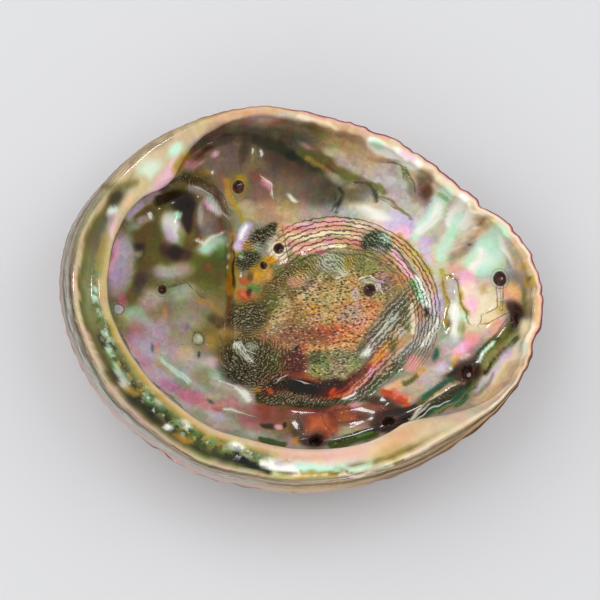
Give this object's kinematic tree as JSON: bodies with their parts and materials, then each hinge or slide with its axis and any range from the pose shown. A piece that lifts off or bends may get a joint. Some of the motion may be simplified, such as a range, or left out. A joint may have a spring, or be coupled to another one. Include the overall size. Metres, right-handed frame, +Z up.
{
  "type": "abalone shell",
  "caption": "Deep ear-shaped abalone shell lying pearl side up: rolled inner lip, spiral spire hollow, raised muscle scar and a row of breathing holes. Rests on its worn crown.",
  "frame": {"origin": "middle of the shell's box in plan, on the surface that the shell rests on", "axes": "+X along the length towards the pointed end, +Y towards the thin outer lip, +Z up out of the pearl inside"},
  "size_m": [0.1651, 0.1328, 0.0423],
  "materials": {
    "nacre": "glossy iridescent mother of pearl inside, ridged brick-pink crust outside"
  },
  "bodies": {
    "root": {"shell": "nacre"}
  },
  "joints": []
}
